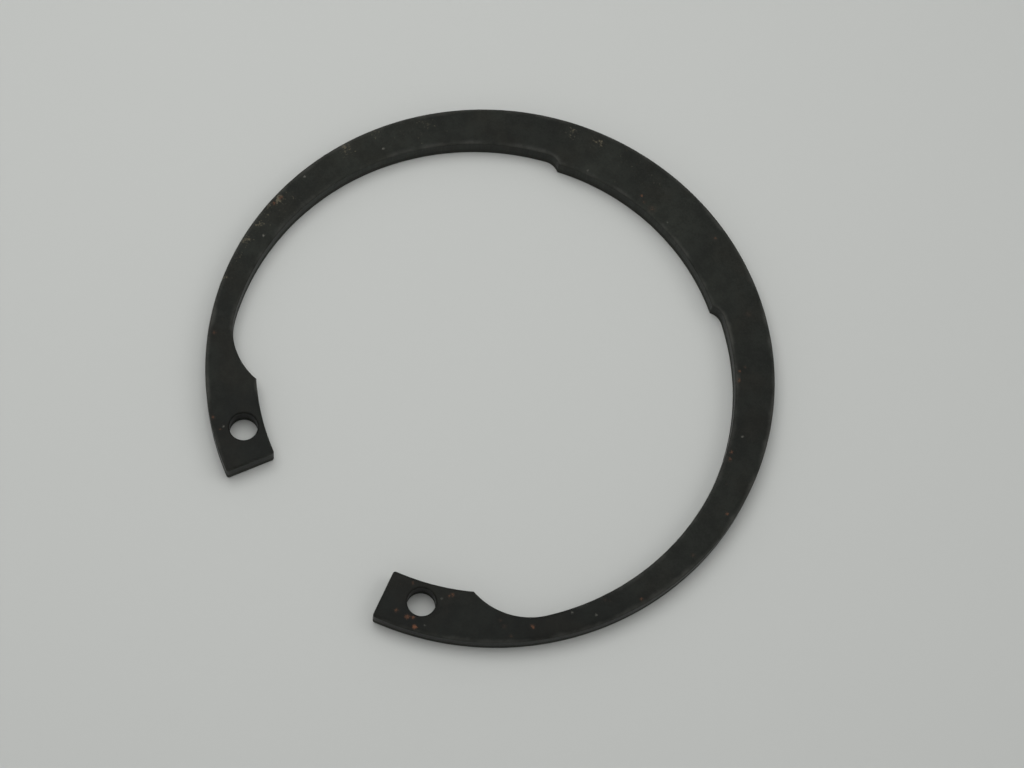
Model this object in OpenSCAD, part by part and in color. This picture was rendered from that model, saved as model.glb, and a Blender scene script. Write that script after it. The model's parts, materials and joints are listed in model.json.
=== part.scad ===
// Circlip for a 102 mm bore: one flat ring, stamped from spring steel.
// It lies on z = 0 with the centre of its rim at the origin and its gap towards -Y.

/* [Ring] */
// Outside diameter of the relaxed ring
outer_d = 108; // [100:0.5:120]
// Thickness of the steel
thickness = 4; // [2:0.1:6]

/* [Bridge] */
// Radial width of the wide bridge opposite the gap
bridge_w = 9.5; // [9:0.1:12]
// Angle from the middle of the bridge to the step at its end
bridge_angle = 27.7; // [15:0.1:40]
// Radius of the fillet that leads from the step into the arm
step_r = 3.2; // [1.5:0.1:6]

/* [Arms] */
// Width that the taper would reach at the middle of the bridge
arm_wide_w = 8.4; // [6.5:0.1:8.8]
// Width that the taper would reach at the middle of the gap
arm_narrow_w = 3.1; // [2:0.1:5]

/* [Lugs] */
// Radial width of a lug
lug_w = 9.5; // [8.5:0.1:13]
// Angle from the middle of the gap to the end of a lug
gap_angle = 20.8; // [12:0.1:26]
// Angle that a lug takes up, from its end to its inner corner
lug_angle = 19.6; // [15:0.1:26]
// Radius of the fillet that leads from the lug into the arm
lug_r = 13.4; // [5:0.1:20]
// Radius of the two corners at the end of a lug
tip_r = 0.5; // [0.5:0.05:2]

/* [Plier holes] */
// Diameter of a plier hole
hole_d = 5.3; // [3:0.1:6]
// Distance from the inner edge of the lug to the centre of its hole
hole_margin = 3.8; // [3.5:0.1:5]
// Angle from the end of the lug to the centre of its hole
hole_angle = 8.4; // [6:0.1:10]

/* [Stamped edges] */
// Radius of the upper edges, which the punch rolled over
roll_r = 0.35; // [0.1:0.05:0.4]
// Radius of the lower edges, broken by tumbling
break_r = 0.2; // [0.1:0.05:0.4]

/* [Hidden] */
$fn = 180;

// Cutters run past the steel by this much
over = 1;
// The rounding of a lug's tip starts this far outside the steel
tip_lead = 0.005;

outer_r = outer_d / 2;
lug_inner_r = outer_r - lug_w;
bridge_inner_r = outer_r - bridge_w;

// Direction of the end of a lug, seen from the centre of the ring
lug_end = gap_angle - 90;

// The inner circle of the arms is moved towards the gap, which tapers them
arm_r = outer_r - (arm_wide_w + arm_narrow_w) / 2;
arm_shift = (arm_wide_w - arm_narrow_w) / 2;

// The corners where the hollow beside an arm ends, seen from the centre of the arm's circle
lug_corner = polar(lug_inner_r, lug_end + lug_angle) + [0, arm_shift];
step_corner = polar(bridge_inner_r, 90 - bridge_angle) + [0, arm_shift];

// A fillet is always a little larger than half the depth that it climbs
lug_fillet_r = max(lug_r, 0.6 * (arm_r - norm(lug_corner)));
step_fillet_r = max(step_r, 0.6 * (arm_r - norm(step_corner)));

// Directions of the points where the fillets leave the arm's circle
lug_ray = rounded(bearing(lug_corner) + fillet_turn(lug_corner, lug_fillet_r), 1000);
step_ray = rounded(bearing(step_corner) - fillet_turn(step_corner, step_fillet_r), 1000);

function rounded(x, parts) = round(x * parts) / parts;

function polar(r, angle) = r * [cos(angle), sin(angle)];

function bearing(point) = atan2(point.y, point.x);

// Angle at the arm's centre between a corner and the centre of the fillet of radius r that ends there
function fillet_turn(corner, r) =
    let (near = arm_r - r, far = norm(corner))
    acos((near * near + far * far - r * r) / (2 * near * far));

// Half section of a disc of radius r with its rim rounded on both faces
module disc_section(r) {
    translate([0, break_r]) square([r, thickness - roll_r - break_r]);
    translate([0, thickness - roll_r]) rounded_rim(r, roll_r);
    translate([0, break_r]) mirror([0, 1]) rounded_rim(r, break_r);
}

module rounded_rim(r, edge_r) {
    square([r - edge_r, edge_r]);
    translate([r - edge_r, 0]) intersection() {
        circle(edge_r);
        square(2 * edge_r);
    }
}

// Half section of a cutter of radius r, flared so that it leaves rounded edges on both faces
module cutter_section(r) {
    translate([0, break_r]) square([r, thickness - roll_r - break_r]);
    translate([0, thickness - roll_r]) flare(r, roll_r);
    translate([0, break_r]) mirror([0, 1]) flare(r, break_r);
}

module flare(r, edge_r) {
    difference() {
        square([r + edge_r, edge_r + over]);
        translate([r + edge_r, 0]) circle(edge_r);
    }
}

module round_cut(r, from = 0, turn = 360) {
    rotate_extrude(start = from, angle = turn) cutter_section(r);
}

// Moves by whole hundredths and then by the rest, which keeps the last digits of a tangent point
module place(point) {
    whole = [for (x = point) rounded(x, 100)];
    translate(whole) translate(point - whole) children();
}

module both_sides() {
    children();
    mirror([1, 0, 0]) children();
}

// The hollow that narrows one arm, with a fillet at its lug and one at the bridge
module arm_hollow() {
    translate([0, -arm_shift, 0]) {
        round_cut(arm_r, lug_ray, step_ray - lug_ray);
        place(polar(arm_r - lug_fillet_r, lug_ray)) round_cut(lug_fillet_r, lug_ray + 180, 180);
        place(polar(arm_r - step_fillet_r, step_ray)) round_cut(step_fillet_r, step_ray, 180);
    }
}

// Everything inside the ring
module opening() {
    round_cut(bridge_inner_r, 0, 180);
    round_cut(lug_inner_r, 180, 180);
    both_sides() arm_hollow();
}

// The gap, cut from the end of one lug to past the middle
module gap_cut() {
    start = lug_inner_r / 2;
    reach = (outer_r + over) * sin(gap_angle);
    rotate(lug_end) translate([start, -reach, 0]) rotate([90, 0, 90])
        linear_extrude(outer_r + over - start) cutter_section(reach);
}

// Rounds off one corner of a lug: a quarter turn that cuts away what lies outside tip_r
module tip_cut(centre_r, from) {
    heading = lug_end + asin((tip_r - tip_lead) / centre_r);
    translate(polar(centre_r, heading)) rotate_extrude(start = heading + from, angle = 90)
        translate([2 * tip_r, 0]) mirror([1, 0]) cutter_section(tip_r);
}

module lug_tips() {
    tip_cut(outer_r - tip_r + tip_lead, -90);
    tip_cut(lug_inner_r + tip_r - tip_lead, 180);
}

module plier_hole() {
    translate(polar(lug_inner_r + hole_margin, lug_end + hole_angle)) round_cut(hole_d / 2);
}

module circlip() {
    color("#2c2d2b") difference() {
        rotate_extrude() disc_section(outer_r);
        opening();
        both_sides() {
            gap_cut();
            lug_tips();
            plier_hole();
        }
    }
}

circlip();
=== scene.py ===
# A circlip for a bore, lying flat on pale card: stamped spring steel under dark, oiled phosphate.
import cmath
import json
import math
from functools import partial

import bmesh
import bpy
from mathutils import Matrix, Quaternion, Vector, geometry, kdtree, noise


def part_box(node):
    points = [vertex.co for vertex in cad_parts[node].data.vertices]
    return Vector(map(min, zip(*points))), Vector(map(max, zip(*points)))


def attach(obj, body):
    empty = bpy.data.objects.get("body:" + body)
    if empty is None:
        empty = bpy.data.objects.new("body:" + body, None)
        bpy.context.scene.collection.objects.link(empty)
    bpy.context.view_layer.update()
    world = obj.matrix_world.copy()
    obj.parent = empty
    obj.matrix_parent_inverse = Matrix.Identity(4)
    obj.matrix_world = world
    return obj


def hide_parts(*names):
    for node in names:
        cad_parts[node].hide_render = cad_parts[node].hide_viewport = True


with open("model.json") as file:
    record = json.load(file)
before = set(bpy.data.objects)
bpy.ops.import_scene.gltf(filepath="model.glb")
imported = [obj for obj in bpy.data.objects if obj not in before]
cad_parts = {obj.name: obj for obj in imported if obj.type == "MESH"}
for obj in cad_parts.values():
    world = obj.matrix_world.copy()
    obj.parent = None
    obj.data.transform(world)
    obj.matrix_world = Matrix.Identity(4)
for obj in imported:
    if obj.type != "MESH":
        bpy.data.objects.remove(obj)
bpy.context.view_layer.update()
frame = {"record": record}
mounts = {mount["name"]: mount for mount in frame["record"]["mounts"]}
mm = 0.001
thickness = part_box("circlip")[1].z / mm
rimRadius = mounts["outer_rim"]["dims"]["r_mm"]
print("frame: rim radius", rimRadius, "mm, steel", round(thickness, 3), "mm thick")

scene = bpy.context.scene
scene.view_settings.view_transform = "Standard"


# The ring, drawn in plan with complex numbers: x across the gap, y away from it, in mm

circlip = {
    "bridgeWidth": 9.5,      # opposite the gap
    "bridgeAngle": 27.7,     # from its middle to the step, degrees
    "stepFillet": 3.2,
    "armWideWidth": 8.4,     # what the taper of the arms would reach at the middle of the bridge
    "armNarrowWidth": 3.1,   # and at the middle of the gap
    "lugWidth": 9.5,
    "gapAngle": 20.8,        # from the middle of the gap to the end of a lug, degrees
    "lugAngle": 19.6,        # from there to the inner corner of the lug, degrees
    "lugFillet": 13.4,
    "tipRadius": 0.5,
    "rollWidth": 1.1,        # the punch drew the upper edges down, wider than deep
    "rollDepth": 0.35,
    "lugRollWidth": 0.6,     # the lug is stiffer
    "rollLead": 5,           # along the rim, from the lug's corner to where the roll is wide
    "holeRollWidth": 0.35,
    "borderWidth": 0.08,     # flat strip inside the roll
    "breakRadius": 0.2,      # lower edges, tumbled
    "fractureTop": 1.7,      # the steel sheared above this height and tore below it
    "fractureWander": 0.35,  # of that height, up and down
    "fractureWave": 0.3,     # how quickly it wanders, beside the grain
    "fractureLead": 0.5,     # from there down to the full depth
    "fractureDepth": 0.05,
    "fractureGrain": 0.6,
    "grainMean": 0.5,        # of the depth, and how far the grain moves it
    "grainSpread": 0.9,
    "rollFade": 0.9,         # share of the rubbing and its painted highlight that is gone at the top of the roll
    "rimBand": 1.5,          # what lies this near to the rim is rubbed, and given its painted highlight, as the rim is
    "innerRubAndHighlight": 0.75,        # the inner edges are rubbed less and get less painted highlight
    "wallRubAndHighlight": 0.45,         # and the wall less than the roll above it
    "rubAndHighlightReach": 0.4,
    "pointSpacing": 0.35,    # along the edges
    "fewestPoints": 4,       # on each stretch of them
    "holePoints": 72,
    "breakSteps": 4,
    "wallSteps": 10,
    "rollSteps": 9,
    "faceSpacing": 1.3,      # of the points inside the flat faces
    "faceMargin": 0.6,       # of that spacing stays free beside the edges
    "mergeDistance": 1e-4,
    "sharpAngle": 32,        # degrees
}

innerRadius = rimRadius - circlip["lugWidth"]
bridgeRadius = rimRadius - circlip["bridgeWidth"]
armRadius = rimRadius - (circlip["armWideWidth"] + circlip["armNarrowWidth"]) / 2
armCentre = -0.5j * (circlip["armWideWidth"] - circlip["armNarrowWidth"])
armMiddle = armCentre + armRadius


def polar(radius, degrees):
    return cmath.rect(radius, math.radians(degrees))


def meet(centreA, radiusA, centreB, radiusB, near):
    # where two circles cross, the crossing that lies nearer to a point
    span = abs(centreB - centreA)
    along = (span ** 2 + radiusA ** 2 - radiusB ** 2) / (2 * span)
    rise = math.sqrt(radiusA ** 2 - along ** 2)
    step = (centreB - centreA) / span
    crossings = [centreA + step * complex(along, side * rise) for side in (1, -1)]
    return min(crossings, key=lambda crossing: abs(crossing - near))


def towards(start, end, length):
    return start + (end - start) / abs(end - start) * length


lugEnd = circlip["gapAngle"] - 90
endWay = polar(1, lugEnd)    # along the end of the lug, outwards
stepCorner = polar(bridgeRadius, 90 - circlip["bridgeAngle"])
lugCorner = polar(innerRadius, lugEnd + circlip["lugAngle"])
stepCentre = meet(armCentre, armRadius - circlip["stepFillet"], stepCorner, circlip["stepFillet"], armMiddle)
lugCentre = meet(armCentre, armRadius - circlip["lugFillet"], lugCorner, circlip["lugFillet"], armMiddle)


def tipCentre(radius):
    # the corner circle that touches the end of the lug, at this distance from the middle of the ring
    return endWay * radius * cmath.rect(1, math.asin(circlip["tipRadius"] / radius))


innerTip = tipCentre(innerRadius + circlip["tipRadius"])
outerTip = tipCentre(rimRadius - circlip["tipRadius"])


def tipEnds(tip, radius, inset):
    # where a tip's corner meets the circle of this radius and the end of the lug: deeper in it is a mitre
    if inset < circlip["tipRadius"]:
        return towards(0, tip, radius), endWay * complex((tip / endWay).real, inset)
    mitre = endWay * complex(math.sqrt(radius ** 2 - inset ** 2), inset)
    return mitre, mitre


def stretches(inset):
    # the right half of the outline, from the middle of the bridge round to the middle of the rim:
    # each stretch starts at a point and turns about a centre, or runs straight where there is none
    innerTipStart, innerTipEnd = tipEnds(innerTip, innerRadius + inset, inset)
    outerTipEnd, outerTipStart = tipEnds(outerTip, rimRadius - inset, inset)
    return [
        (1j * (bridgeRadius + inset), 0),
        (meet(0, bridgeRadius + inset, stepCentre, circlip["stepFillet"] + inset, stepCorner), stepCentre),
        (towards(armCentre, stepCentre, armRadius + inset), armCentre),
        (towards(armCentre, lugCentre, armRadius + inset), lugCentre),
        (meet(0, innerRadius + inset, lugCentre, circlip["lugFillet"] + inset, lugCorner), 0),
        (innerTipStart, innerTip),
        (innerTipEnd, None),
        (outerTipStart, outerTip),
        (outerTipEnd, 0),
        (1j * (rimRadius - inset), None),
    ]


def turnOf(start, centre, end):
    return cmath.phase((end - centre) / (start - centre))


def alongStretch(start, centre, end, share):
    if centre is None or start == end:
        return start + (end - start) * share
    return centre + (start - centre) * cmath.rect(1, turnOf(start, centre, end) * share)


def stretchLength(start, centre, end):
    if centre is None:
        return abs(end - start)
    return abs(start - centre) * abs(turnOf(start, centre, end))


def pairs(items):
    return zip(items, items[1:])


pointCounts = [
    max(circlip["fewestPoints"], round(stretchLength(start, centre, end) / circlip["pointSpacing"]))
    for (start, centre), (end, _) in pairs(stretches(0))
]


def rightHalf(inset):
    points = []
    for ((start, centre), (end, _)), count in zip(pairs(stretches(inset)), pointCounts):
        points += [alongStretch(start, centre, end, i / count) for i in range(count)]
    return points + [1j * (rimRadius - inset)]


def lugShares():
    # for each point of the right half, how far it belongs to the lug: the fillet and the rim lead into it
    bridge, step, arm, fillet, lug, innerCorner, end, outerCorner, rim = pointCounts
    shares = [0] * (bridge + step + arm) + [i / fillet for i in range(fillet)]
    shares += [1] * (lug + innerCorner + end + outerCorner)
    lead = circlip["rollLead"] / circlip["pointSpacing"]
    shares += [max(0, 1 - i / lead) for i in range(rim + 1)]
    return [share * share * (3 - 2 * share) for share in shares]


def outline(inset, lugInset):
    # the whole outline, with the steel on its left, moved into the steel by one inset,
    # and at the lugs by another
    right = []
    for wide, narrow, share in zip(rightHalf(inset), rightHalf(lugInset), lugShares()):
        right.append(wide + (narrow - wide) * share)
    return right + [-point.conjugate() for point in reversed(right[1:-1])]


def holeRim(mount, inset, _):
    # the rim of a plier hole, which has no lug inset of its own
    x, y, _ = mount["pos_m"]
    count = circlip["holePoints"]
    radius = mount["dims"]["r_mm"] + inset
    return [complex(x, y) / mm + polar(radius, -360 * i / count) for i in range(count)]


def edgeProfile(rollWidth, lugRollWidth):
    # from the lower face up the cut wall to the upper face: inset, the lugs' own inset, height, rubbing with
    # its painted highlight
    lower, depth = circlip["breakRadius"], circlip["rollDepth"]
    profile = []
    for i in range(circlip["breakSteps"]):
        turn = math.pi / 2 * i / circlip["breakSteps"]
        inset = lower * (1 - math.sin(turn))
        profile.append((inset, inset, lower * (1 - math.cos(turn)), math.sin(turn)))
    for i in range(circlip["wallSteps"] + 1):
        height = lower + (thickness - lower - depth) * i / circlip["wallSteps"]
        nearEnd = min(height - lower, thickness - depth - height)
        rubAndHighlight = circlip["wallRubAndHighlight"] * max(0, 1 - nearEnd / circlip["rubAndHighlightReach"])
        profile.append((0, 0, height, rubAndHighlight))
    # the roll carries the most rubbing, and with it a painted highlight along the rolled edge
    for i in range(1, circlip["rollSteps"] + 1):
        turn = math.pi / 2 * i / circlip["rollSteps"]
        share = 1 - math.cos(turn)
        height = thickness - depth * (1 - math.sin(turn))
        rubAndHighlight = 1 - circlip["rollFade"] * share
        profile.append((rollWidth * share, lugRollWidth * share, height, rubAndHighlight))
    border = circlip["borderWidth"]
    profile.append((rollWidth + border, lugRollWidth + border, thickness, 0))
    return profile


def tornBy(point, height):
    # how far the torn lower part of the cut wall lies behind the sheared part above it
    place = Vector((point.real, point.imag, height)) / circlip["fractureGrain"]
    edge = circlip["fractureTop"] + circlip["fractureWander"] * noise.noise(place * circlip["fractureWave"])
    below = min(1, max(0, (edge - height) / circlip["fractureLead"]))
    share = below * min(1, height / circlip["breakRadius"] - 1)
    grain = circlip["grainMean"] + circlip["grainSpread"] * noise.noise(place)
    return max(0, share) * circlip["fractureDepth"] * grain


def addBand(mesh, shapeAt, profile, rubAndHighlightLayer):
    # the wall round one outline: returns its lowest and highest loops of vertices
    loops = []
    probe = 0.1    # mm, to find the way into the steel at each point
    deeper = [(inner - outer) / probe for outer, inner in zip(shapeAt(0, 0), shapeAt(probe, probe))]
    for inset, lugInset, height, rubAndHighlight in profile:
        loop = []
        for point, inward in zip(shapeAt(inset, lugInset), deeper):
            place = point + inward * tornBy(point, height) if inset == 0 else point
            vert = mesh.verts.new((place.real * mm, place.imag * mm, height * mm))
            onRim = abs(point) > rimRadius - circlip["rimBand"]
            vert[rubAndHighlightLayer] = rubAndHighlight * (1 if onRim else circlip["innerRubAndHighlight"])
            loop.append(vert)
        loops.append(loop)
    for low, high in pairs(loops):
        for i in range(len(low)):
            mesh.faces.new((low[i - 1], low[i], high[i], high[i - 1]))
    return loops[0], loops[-1]


def fillFace(mesh, rim, holes, facesUp):
    # a flat face inside an outline and round its holes, with points spread over it
    # so that no triangle is long
    edgeVerts = [vert for loop in (rim, *holes) for vert in loop]
    flat = [vert.co.xy / mm for vert in edgeVerts]
    sides = []
    for loop in (rim, *holes):
        first = len(sides)
        sides += [(first + i, first + (i + 1) % len(loop)) for i in range(len(loop))]
    tree = kdtree.KDTree(len(flat))
    for i, point in enumerate(flat):
        tree.insert(point.to_3d(), i)
    tree.balance()
    openings = []
    for hole in holes:
        middle = sum((vert.co.xy for vert in hole), Vector((0, 0))) / len(hole) / mm
        openings.append((middle, (hole[0].co.xy / mm - middle).length))
    spacing = circlip["faceSpacing"]
    rowHeight = spacing * math.sqrt(0.75)
    reach = math.ceil(rimRadius / rowHeight)
    for row in range(-reach, reach + 1):
        for column in range(-reach, reach + 1):
            point = Vector(((column + 0.5 * (row % 2)) * spacing, row * rowHeight))
            _, _, edgeDistance = tree.find(point.to_3d())
            if point.length < rimRadius and edgeDistance > circlip["faceMargin"] * spacing:
                flat.append(point)
    onlyInside = 1
    tolerance = 1e-7
    points, _, triangles, origins, _, _ = geometry.delaunay_2d_cdt(flat, sides, [], onlyInside, tolerance)
    verts = {}
    for triangle in triangles:
        centre = sum((points[i] for i in triangle), Vector((0, 0))) / 3
        if any((centre - middle).length < radius for middle, radius in openings):
            continue
        for i in triangle:
            if i not in verts and origins[i][0] < len(edgeVerts):
                verts[i] = edgeVerts[origins[i][0]]
            elif i not in verts:
                verts[i] = mesh.verts.new((*points[i] * mm, edgeVerts[0].co.z))
        corners = [verts[i] for i in triangle]
        mesh.faces.new(corners if facesUp else reversed(corners))


def makeCirclip():
    mesh = bmesh.new()
    # the rubbing attribute marks worn edges and the places where the material paints their highlight
    rubAndHighlightLayer = mesh.verts.layers.float.new("rubbedAndHighlit")
    rim = addBand(mesh, outline, edgeProfile(circlip["rollWidth"], circlip["lugRollWidth"]), rubAndHighlightLayer)
    holeProfile = edgeProfile(circlip["holeRollWidth"], circlip["holeRollWidth"])
    holes = []
    for name in ("plier_hole_right", "plier_hole_left"):
        holes.append(addBand(mesh, partial(holeRim, mounts[name]), holeProfile, rubAndHighlightLayer))
    fillFace(mesh, rim[0], [low for low, _ in holes], facesUp=False)
    fillFace(mesh, rim[1], [high for _, high in holes], facesUp=True)
    bmesh.ops.remove_doubles(mesh, verts=mesh.verts, dist=circlip["mergeDistance"] * mm)
    data = bpy.data.meshes.new("circlipSteel")
    mesh.to_mesh(data)
    mesh.free()
    data.shade_smooth()
    data.set_sharp_from_angle(angle=math.radians(circlip["sharpAngle"]))
    piece = bpy.data.objects.new("stamped_ring", data)
    scene.collection.objects.link(piece)
    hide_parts("circlip")
    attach(piece, "root")
    return piece


ring = makeCirclip()
print("ring:", len(ring.data.vertices), "points,", len(ring.data.polygons), "faces")


# Materials

def linearColour(code):
    shares = [int(code[i:i + 2], 16) / 255 for i in (1, 3, 5)]
    return [s / 12.92 if s <= 0.04045 else ((s + 0.055) / 1.055) ** 2.4 for s in shares] + [1]


def scaleFor(size):
    # a pattern's scale from the size in mm that one of its patches has on the object
    return 1 / (size * mm)


def addNode(tree, kind, inputs=None, **settings):
    # an input is a value, a socket, or a node whose first output in use is taken
    node = tree.nodes.new("ShaderNode" + kind)
    for name, value in settings.items():
        setattr(node, name, value)
    for name, value in (inputs or {}).items():
        if isinstance(value, bpy.types.Node):
            value = next(socket for socket in value.outputs if socket.enabled)
        if isinstance(value, bpy.types.NodeSocket):
            tree.links.new(value, node.inputs[name])
        else:
            node.inputs[name].default_value = value
    return node


under, over = 6, 7    # a Mix node's two colours: its other inputs have the same names


def startMaterial(name):
    material = bpy.data.materials.new(name)
    material.use_nodes = True
    material.node_tree.nodes.clear()
    return material, material.node_tree


phosphate = {
    "coating": "#121412",
    "coatingPale": "#252723",    # where it is dry, and where the dry patches paint sheen
    "coatingWarm": "#1f1d18",    # where the oil has turned brown
    # torn steel, lighter than the coating, partly as painted fill against the shade at the foot of the wall
    "tornSteelAndFill": "#31322e",
    "bareSteelAndHighlight": "#454542",      # where the coating is rubbed off the edges, lighter there also as a painted highlight
    "rust": "#7b4f39",
    "rustStain": "#4f3d31",
    "dust": "#676152",
    "grit": "#6c6b65",
    "oilPatch": 15,              # mm, and so are the sizes below
    "brownPatch": 7,
    "mottle": 2.6,
    "crystal": 0.32,             # the real ones are a tenth of this, too fine to show
    "streak": 0.3,               # lines that the punch drew down the cut wall
    "tearWave": 1.8,             # along the line where the steel began to tear
    "tearRise": 0.8,             # of that line, from its lowest place to its highest
    "tearEdge": 0.2,             # over which shear passes into tear
    "wearAndHighlightPatch": 5,
    "raggedness": 0.4,           # at the edges of the spots
    "scatter": 3.2,              # between the finer spots
    "fleck": 0.6,
    "reliefDepth": 0.03,
    "streakDraw": 0.06,          # the streaks' pattern is scaled by this in height, which draws it out
    "shake": 2.6,                # how far raggedness moves an edge, over its own size
    "tornAndFillCover": 0.75,           # how far torn and bare steel, lightened as painted fill and painted highlight, hide the coating
    "bareAndHighlightCover": 0.75,
    "bareMetal": 0.6,            # how metallic bare steel is
    "oilGuard": 0.35,            # how far oil keeps the edges from rubbing and from their painted highlight
    "dustGather": 0.38,          # how far the patches of dust thicken its flecks
    "dryGrain": 0.3,             # how far dryness counts beside the crystals for the gloss
    "shine": 0.09,
    "roughness": 0.56,
    "oiledRoughness": -0.08,     # what each of these adds to the roughness
    "dryRoughness": 0.12,
    "bareRoughness": -0.14,
    "wallRoughness": -0.16,
    "tornRoughness": 0.24,
    "looseRoughness": 0.3,
    "crystalRelief": 0.35,       # and how high each stands, in reliefDepth
    "mottleRelief": 0.5,
    "streakRelief": 0.8,
    "looseRelief": 1.2,
    "reliefStrength": 0.5,
}

# dry patches lighten the bridge and the upper-left faces, partly as dry crust and partly as painted sheen;
# oily patches darken the lower arm, partly as oil and partly as painted shade
# on the upper face: degrees round the ring from +x, distance from its middle, width in mm, strength
dryAndSheenPatches = [
    (88, 45, 24, 0.7), (68, 46, 18, 0.4), (110, 46, 20, 0.45), (165, 52, 36, 0.62), (-165, 52, 30, 0.4),
    (135, 53, 24, 0.25),
]
oilyAndShadePatches = [
    (-35, 51, 44, 0.55), (-62, 49, 26, 0.62), (-118, 49, 22, 0.5),
]
rustSpots = [
    (-62.7, 51.8, 1.4, 0.8), (-61.5, 51.6, 1.0, 0.65), (-60.7, 53.2, 1.3, 1.0), (-65.2, 51.4, 1.3, 0.5),
    (-54.5, 45.7, 1.4, 0.45), (-55.1, 46.1, 1.2, 0.4), (-64.0, 45.4, 1.2, 0.4), (-43.6, 49.9, 1.2, 0.25),
    (-42.8, 51.0, 1.5, 0.3), (-41.5, 52.8, 1.2, 0.3), (-37.0, 51.4, 1.4, 0.6), (-20.8, 50.1, 1.2, 0.25),
    (-14.0, 53.0, 1.2, 0.4), (0.2, 52.3, 1.6, 0.25), (11.7, 52.3, 1.1, 0.55), (23.2, 48.1, 1.6, 0.35),
    (24.9, 47.9, 1.3, 0.45), (44.8, 47.2, 1.3, 0.45), (42.6, 47.0, 1.6, 0.4), (45.8, 48.3, 1.1, 0.3),
    (58.3, 50.8, 1.8, 0.25), (77.2, 51.4, 1.2, 0.35), (95.9, 46.4, 1.1, 0.5), (94.4, 45.7, 1.2, 0.35),
    (91.8, 45.7, 2.6, 0.3), (-141.0, 52.8, 1.4, 0.4), (-119.7, 52.6, 1.1, 0.3), (-122.6, 53.4, 1.2, 0.45),
    (-174.6, 52.9, 1.7, 0.5), (-172.8, 53.1, 1.4, 0.5),
]
dustPatches = [
    (-174.0, 52.9, 4, 0.9), (-171.6, 53.4, 3, 0.8), (-167.3, 53.0, 4, 0.85), (-162.5, 53.1, 4, 0.8),
    (-158.5, 53.3, 5, 0.75), (-153.6, 53.4, 4, 0.6), (167.7, 52.6, 6, 0.75), (160.0, 52.8, 5, 0.85),
    (111.0, 51.7, 5, 0.75), (117.0, 51.6, 5, 0.75), (105.0, 51.5, 8, 0.4), (150.0, 52.5, 24, 0.35),
    (-172.0, 53.0, 26, 0.4), (98.0, 51.0, 26, 0.25),
]
gritSpots = [
    (29.2, 49.1, 0.9, 0.5), (-23.7, 52.0, 1.0, 0.45), (-28.3, 50.3, 0.9, 0.45), (86.7, 45.9, 0.9, 0.45),
    (110.4, 45.3, 0.9, 0.4), (-165.4, 50.8, 0.8, 0.6), (160.2, 49.4, 0.8, 0.6), (178.4, 52.7, 0.8, 0.55),
    (-120.2, 51.9, 0.9, 0.5), (-58.9, 52.5, 0.9, 0.4), (-56.7, 46.8, 1.0, 0.35),
]


def spotCover(tree, place, spots):
    # how strongly a place is covered: a spot's own strength in its middle, 0 from its edge on
    cover = 0.0
    for degrees, radius, width, strength in spots:
        middle = polar(radius, degrees)
        away = addNode(tree, "VectorMath", {
            0: place, 1: (middle.real * mm, middle.imag * mm, thickness * mm)}, operation="DISTANCE")
        spot = addNode(tree, "MapRange", {
            "Value": away, "From Max": width / 2 * mm, "To Min": strength, "To Max": 0.0})
        cover = addNode(tree, "Math", {0: spot, 1: cover}, operation="MAXIMUM")
    return cover


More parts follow.
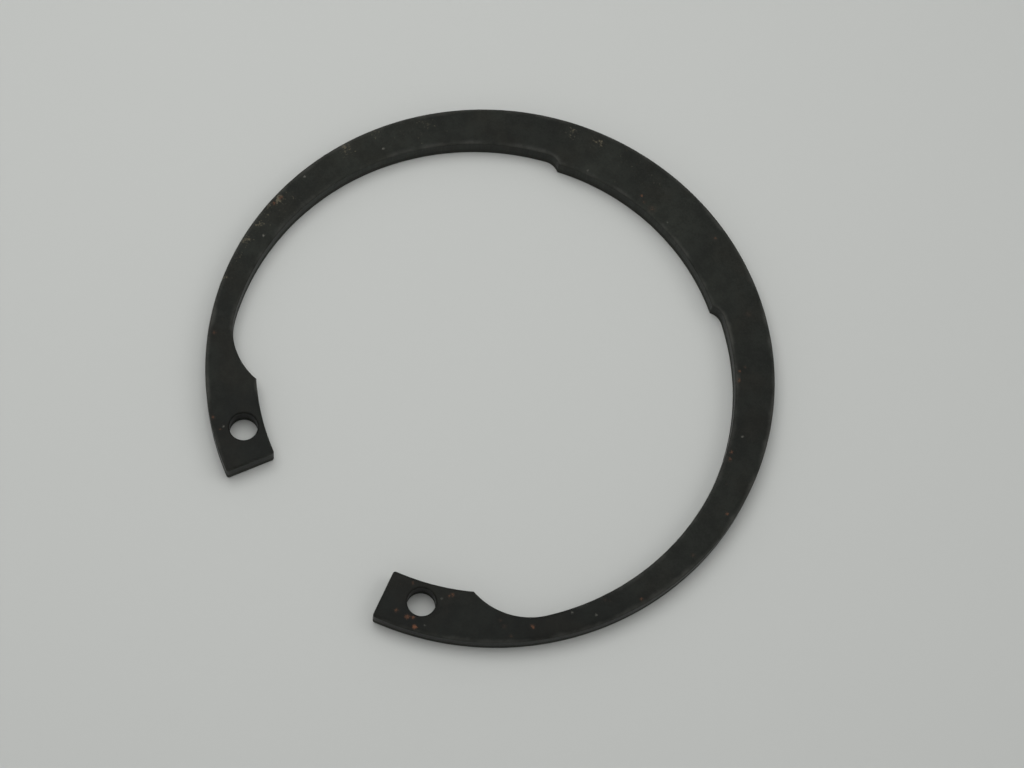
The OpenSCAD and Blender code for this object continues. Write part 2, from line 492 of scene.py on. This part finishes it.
def makePhosphatedSteel():
    # Spring steel, stamped, tumbled, zinc phosphated and oiled: a dull near-black crust of fine crystals,
    # browner where the oil has dried, rubbed to bare steel along the edges and lightened there by a painted
    # highlight, with young rust in small spots
    material, tree = startMaterial("phosphatedSpringSteel")
    add = partial(addNode, tree)
    smooth = {"interpolation_type": "SMOOTHSTEP"}
    place = add("TexCoord").outputs["Object"]

    # the crust on the flat faces
    oil = add("TexNoise", {"Vector": place, "Scale": scaleFor(phosphate["oilPatch"])})
    dryAndSheen = add("MapRange", {
        "Value": oil, "From Min": 0.35, "From Max": 0.65, "To Min": 0.37, "To Max": 0.53}, **smooth)
    # dry patches paint sheen and oily ones paint shade, beside the real dryness and oil
    drynessAndSheen = add("Math", {
        0: spotCover(tree, place, dryAndSheenPatches), 1: spotCover(tree, place, oilyAndShadePatches)}, operation="SUBTRACT")
    dryAndSheen = add("Math", {0: dryAndSheen, 1: drynessAndSheen}, use_clamp=True)
    colour = add("Mix", {
        "Factor": dryAndSheen, under: linearColour(phosphate["coating"]),
        over: linearColour(phosphate["coatingPale"])}, data_type="RGBA")
    # far off in the pattern, so that brown doesn't follow the oil
    elsewhere = add("VectorMath", {0: place, 1: (0.31, 0.17, 0.05)})
    brown = add("TexNoise", {"Vector": elsewhere, "Scale": scaleFor(phosphate["brownPatch"]), "Detail": 3.0})
    browned = add("MapRange", {"Value": brown, "From Min": 0.42, "From Max": 0.68, "To Max": 0.35}, **smooth)
    colour = add("Mix", {
        "Factor": browned, under: colour, over: linearColour(phosphate["coatingWarm"])}, data_type="RGBA")
    mottle = add("TexNoise", {
        "Vector": place, "Scale": scaleFor(phosphate["mottle"]), "Detail": 4.0, "Roughness": 0.6})
    crystals = add("TexNoise", {
        "Vector": place, "Scale": scaleFor(phosphate["crystal"]), "Detail": 3.0, "Roughness": 0.7})
    grain = add("Math", {0: mottle, 1: crystals})
    shade = add("MapRange", {
        "Value": grain, "From Min": 0.75, "From Max": 1.25, "To Min": 0.75, "To Max": 1.25}, **smooth)
    colour = add("Mix", {
        "Factor": 1.0, under: colour, over: shade}, data_type="RGBA", blend_type="MULTIPLY")

    # the cut wall: drawn into lines where it sheared, dull and grainy where it tore, and lightened as a whole
    # by painted light
    normal = add("SeparateXYZ", {0: add("NewGeometry").outputs["Normal"]})
    lean = add("Math", {0: normal.outputs["Z"]}, operation="ABSOLUTE")
    wall = add("MapRange", {"Value": lean, "From Min": 0.75, "From Max": 0.3}, **smooth)
    drawn = add("VectorMath", {0: place, 1: (1, 1, phosphate["streakDraw"])}, operation="MULTIPLY")
    streaks = add("TexNoise", {"Vector": drawn, "Scale": scaleFor(phosphate["streak"]), "Detail": 3.0})
    # the lines mostly lighten the wall: besides the drawn streaks they paint light onto it
    streaksAndWallLight = add("MapRange", {
        "Value": streaks, "From Min": 0.3, "From Max": 0.7, "To Min": 0.95, "To Max": 1.6}, **smooth)
    streakedAndLitWall = add("Mix", {
        "Factor": wall, under: colour, over: streaksAndWallLight}, data_type="RGBA", blend_type="MULTIPLY")
    height = add("SeparateXYZ", {0: place}).outputs["Z"]
    wander = add("TexNoise", {"Vector": drawn, "Scale": scaleFor(phosphate["tearWave"])})
    lowest = circlip["fractureTop"] - phosphate["tearRise"] / 2
    tearLine = add("Math", {
        0: wander, 1: phosphate["tearRise"] * mm, 2: lowest * mm}, operation="MULTIPLY_ADD")
    below = add("Math", {0: tearLine, 1: height}, operation="SUBTRACT")
    torn = add("MapRange", {"Value": below, "From Max": phosphate["tearEdge"] * mm}, **smooth)
    torn = add("Math", {0: torn, 1: wall}, operation="MULTIPLY")
    # the torn foot of the wall is lightened, partly as painted fill light against its shade
    tornAndFill = add("Math", {0: torn, 1: phosphate["tornAndFillCover"]}, operation="MULTIPLY")
    colour = add("Mix", {
        "Factor": tornAndFill, under: streakedAndLitWall, over: linearColour(phosphate["tornSteelAndFill"])}, data_type="RGBA")

    # edges, rubbed in patches and lightened there by a painted highlight, less where they are oily
    rubbedAndHighlit = add("Attribute", attribute_name="rubbedAndHighlit").outputs["Fac"]
    wearAndHighlightNoise = add("TexNoise", {
        "Vector": place, "Scale": scaleFor(phosphate["wearAndHighlightPatch"]), "Detail": 4.0, "Roughness": 0.65})
    patchy = add("MapRange", {
        "Value": wearAndHighlightNoise, "From Min": 0.3, "From Max": 0.75, "To Min": -0.35, "To Max": 0.4})
    oiledAndShaded = add("Math", {0: drynessAndSheen, 1: 0.0}, operation="MINIMUM")
    patchy = add("Math", {0: oiledAndShaded, 1: phosphate["oilGuard"], 2: patchy}, operation="MULTIPLY_ADD")
    bare = add("Math", {0: rubbedAndHighlit, 1: patchy})
    bare = add("MapRange", {"Value": bare, "From Min": 0.2, "From Max": 1.2}, **smooth)
    bareAndHighlightShare = add("Math", {0: bare, 1: phosphate["bareAndHighlightCover"]}, operation="MULTIPLY")
    # bare steel lightens the rolled edges, partly as a painted highlight
    colour = add("Mix", {
        "Factor": bareAndHighlightShare, under: colour, over: linearColour(phosphate["bareSteelAndHighlight"])}, data_type="RGBA")

    # spots with ragged edges: those of the upper face are set one by one, finer ones lie everywhere
    shake = add("TexNoise", {
        "Vector": place, "Scale": scaleFor(phosphate["raggedness"]), "Detail": 4.0, "Roughness": 0.7})
    shake = add("VectorMath", {0: shake.outputs["Color"], 1: (0.5, 0.5, 0.5)}, operation="SUBTRACT")
    shake = add("VectorMath", {
        0: shake, "Scale": phosphate["shake"] * phosphate["raggedness"] * mm}, operation="SCALE")
    ragged = add("VectorMath", {0: place, 1: shake})
    scatter = add("TexVoronoi", {"Vector": ragged, "Scale": scaleFor(phosphate["scatter"])})
    pick = add("SeparateColor", {0: scatter.outputs["Color"]})
    fine = add("MapRange", {"Value": scatter, "From Max": 0.12, "To Min": 0.5, "To Max": 0.0})
    upward = add("MapRange", {
        "Value": normal.outputs["Z"], "From Min": 0.9, "From Max": 0.95, "To Min": 1.0, "To Max": 0.45})
    fine = add("Math", {0: fine, 1: upward}, operation="MULTIPLY")
    fineRust = add("MapRange", {"Value": pick.outputs["Red"], "From Min": 0.70, "From Max": 0.72})
    fineRust = add("Math", {0: fineRust, 1: fine}, operation="MULTIPLY")
    rust = add("Math", {0: spotCover(tree, ragged, rustSpots), 1: fineRust}, operation="MAXIMUM")
    crumbs = add("MapRange", {
        "Value": crystals, "From Min": 0.35, "From Max": 0.65, "To Min": 0.5, "To Max": 1.3})
    rust = add("Math", {0: rust, 1: crumbs}, operation="MULTIPLY")
    stain = add("MapRange", {"Value": rust, "From Max": 0.6, "To Max": 0.6}, **smooth)
    core = add("MapRange", {"Value": rust, "From Min": 0.2, "From Max": 0.95})
    colour = add("Mix", {
        "Factor": stain, under: colour, over: linearColour(phosphate["rustStain"])}, data_type="RGBA")
    colour = add("Mix", {
        "Factor": core, under: colour, over: linearColour(phosphate["rust"])}, data_type="RGBA")
    fleck = add("TexNoise", {
        "Vector": place, "Scale": scaleFor(phosphate["fleck"]), "Detail": 3.0, "Roughness": 0.7})
    dusty = spotCover(tree, place, dustPatches)
    dust = add("Math", {0: dusty, 1: phosphate["dustGather"], 2: fleck}, operation="MULTIPLY_ADD")
    dust = add("MapRange", {"Value": dust, "From Min": 0.71, "From Max": 0.9, "To Max": 0.65}, **smooth)
    colour = add("Mix", {
        "Factor": dust, under: colour, over: linearColour(phosphate["dust"])}, data_type="RGBA")
    fineGrit = add("MapRange", {"Value": pick.outputs["Green"], "From Min": 0.82, "From Max": 0.84})
    fineGrit = add("Math", {0: fineGrit, 1: fine}, operation="MULTIPLY")
    grit = add("Math", {0: spotCover(tree, ragged, gritSpots), 1: fineGrit}, operation="MAXIMUM")
    grit = add("MapRange", {"Value": grit, "From Min": 0.1, "From Max": 0.6}, **smooth)
    colour = add("Mix", {
        "Factor": grit, under: colour, over: linearColour(phosphate["grit"])}, data_type="RGBA")
    loose = add("Math", {0: core, 1: dust}, operation="MAXIMUM")
    loose = add("Math", {0: loose, 1: grit}, operation="MAXIMUM")

    # gloss: oil evens the crust out, bare steel shines, rust and dust don't
    uneven = add("Math", {0: dryAndSheen, 1: phosphate["dryGrain"], 2: crystals}, operation="MULTIPLY_ADD")
    rough = add("MapRange", {
        "Value": uneven, "From Min": 0.35, "From Max": 1.0,
        "To Min": phosphate["roughness"] + phosphate["oiledRoughness"],
        "To Max": phosphate["roughness"] + phosphate["dryRoughness"]})
    for kind, cover in (("bare", bare), ("wall", wall), ("torn", torn), ("loose", loose)):
        added = phosphate[kind + "Roughness"]
        rough = add("Math", {0: cover, 1: added, 2: rough}, operation="MULTIPLY_ADD", use_clamp=True)
    clean = add("Math", {0: 1.0, 1: loose}, operation="SUBTRACT")
    metal = add("Math", {0: bare, 1: phosphate["bareMetal"]}, operation="MULTIPLY")
    metal = add("Math", {0: metal, 1: clean}, operation="MULTIPLY")

    # relief
    grooves = add("Math", {0: streaks, 1: wall}, operation="MULTIPLY")
    relief = 0.0
    for kind, rise in (("crystal", crystals), ("mottle", mottle), ("streak", grooves), ("loose", loose)):
        relief = add("Math", {0: rise, 1: phosphate[kind + "Relief"], 2: relief}, operation="MULTIPLY_ADD")
    bump = add("Bump", {
        "Height": relief, "Strength": phosphate["reliefStrength"], "Distance": phosphate["reliefDepth"] * mm})
    shader = add("BsdfPrincipled", {
        "Base Color": colour, "Roughness": rough, "Metallic": metal, "Normal": bump,
        "Specular IOR Level": phosphate["shine"]})
    add("OutputMaterial", {"Surface": shader})
    return material


steel = makePhosphatedSteel()
ring.data.materials.append(steel)
print("material:", steel.name, "with", len(steel.node_tree.nodes), "nodes")


# Floor, light and camera

floor = {"colour": "#c4c6c3", "roughness": 0.9, "shine": 0.1, "width": 6000}


def makeFloor():
    # Matt card: a pale, even ground that shows the ring's shadow and hardly shines
    half = floor["width"] / 2 * mm
    data = bpy.data.meshes.new("paleCard")
    corners = [(-half, -half, 0), (half, -half, 0), (half, half, 0), (-half, half, 0)]
    data.from_pydata(corners, [], [(0, 1, 2, 3)])
    piece = bpy.data.objects.new("pale_card", data)
    scene.collection.objects.link(piece)
    material, tree = startMaterial("mattCard")
    shader = addNode(tree, "BsdfPrincipled", {
        "Base Color": linearColour(floor["colour"]), "Roughness": floor["roughness"],
        "Specular IOR Level": floor["shine"]})
    addNode(tree, "OutputMaterial", {"Surface": shader})
    data.materials.append(material)


# angles in degrees, lengths in mm
studio = {
    "skyLevel": 0.39,
    "background": "#c9cbc8",
    "lamps": [
        {"name": "overheadBox", "azimuth": 272, "elevation": 74, "distance": 400, "size": 400, "watts": 0.55},
        {"name": "ceilingBox", "azimuth": 240, "elevation": 74, "distance": 400, "size": 400, "watts": 0.31},
        {"name": "rightWindow", "azimuth": 140, "elevation": 46, "distance": 1200, "size": 660, "watts": 1.5},
        {"name": "backWindow", "azimuth": 185, "elevation": 46, "distance": 1200, "size": 660, "watts": 0.5},
        {"name": "leftWindow", "azimuth": 262, "elevation": 46, "distance": 1200, "size": 640, "watts": 0.4},
    ],
}


def wayTo(azimuth, elevation):
    # azimuth 0 stands on the side of the gap
    turn, rise = math.radians(azimuth), math.radians(elevation)
    return Vector((math.sin(turn) * math.cos(rise), -math.cos(turn) * math.cos(rise), math.sin(rise)))


def makeLight():
    world = bpy.data.worlds.new("paleRoom")
    scene.world = world
    world.use_nodes = True
    world.node_tree.nodes.clear()
    add = partial(addNode, world.node_tree)
    sky = add("Background", {"Color": (1, 1, 1, 1), "Strength": studio["skyLevel"]})
    backdrop = add("Background", {"Color": linearColour(studio["background"])})
    ray = add("LightPath").outputs
    shown = add("Math", {0: ray["Is Camera Ray"], 1: ray["Is Glossy Ray"]}, operation="MAXIMUM")
    shown = add("Math", {0: shown, 1: ray["Is Transmission Ray"]}, operation="MAXIMUM")
    add("OutputWorld", {"Surface": add("MixShader", {"Fac": shown, 1: sky, 2: backdrop})})
    for lamp in studio["lamps"]:
        data = bpy.data.lights.new(lamp["name"], "AREA")
        data.shape = "DISK"
        data.size = lamp["size"] * mm
        data.energy = lamp["watts"]
        way = wayTo(lamp["azimuth"], lamp["elevation"])
        light = bpy.data.objects.new(lamp["name"], data)
        light.location = way * lamp["distance"] * mm
        light.rotation_mode = "QUATERNION"
        light.rotation_quaternion = (-way).to_track_quat("-Z", "Y")
        scene.collection.objects.link(light)


camera = {
    "azimuth": 33.16,
    "elevation": 68.92,
    "roll": 12.22,
    "distance": 495.1,
    "aim": (4.38, 1.30, 0),
    "lens": 91.4,
    "sensor": 36,
    "clipStart": 10,
}


def makeCamera():
    data = bpy.data.cameras.new("camera")
    data.lens = camera["lens"]
    data.sensor_width = camera["sensor"]
    data.clip_start = camera["clipStart"] * mm
    way = wayTo(camera["azimuth"], camera["elevation"])
    view = bpy.data.objects.new("camera", data)
    view.location = (Vector(camera["aim"]) + way * camera["distance"]) * mm
    view.rotation_mode = "QUATERNION"
    roll = Quaternion((0, 0, 1), math.radians(camera["roll"]))
    view.rotation_quaternion = (-way).to_track_quat("-Z", "Y") @ roll
    scene.collection.objects.link(view)
    scene.camera = view


makeFloor()
makeLight()
makeCamera()
print("stage: floor, light and camera are set")
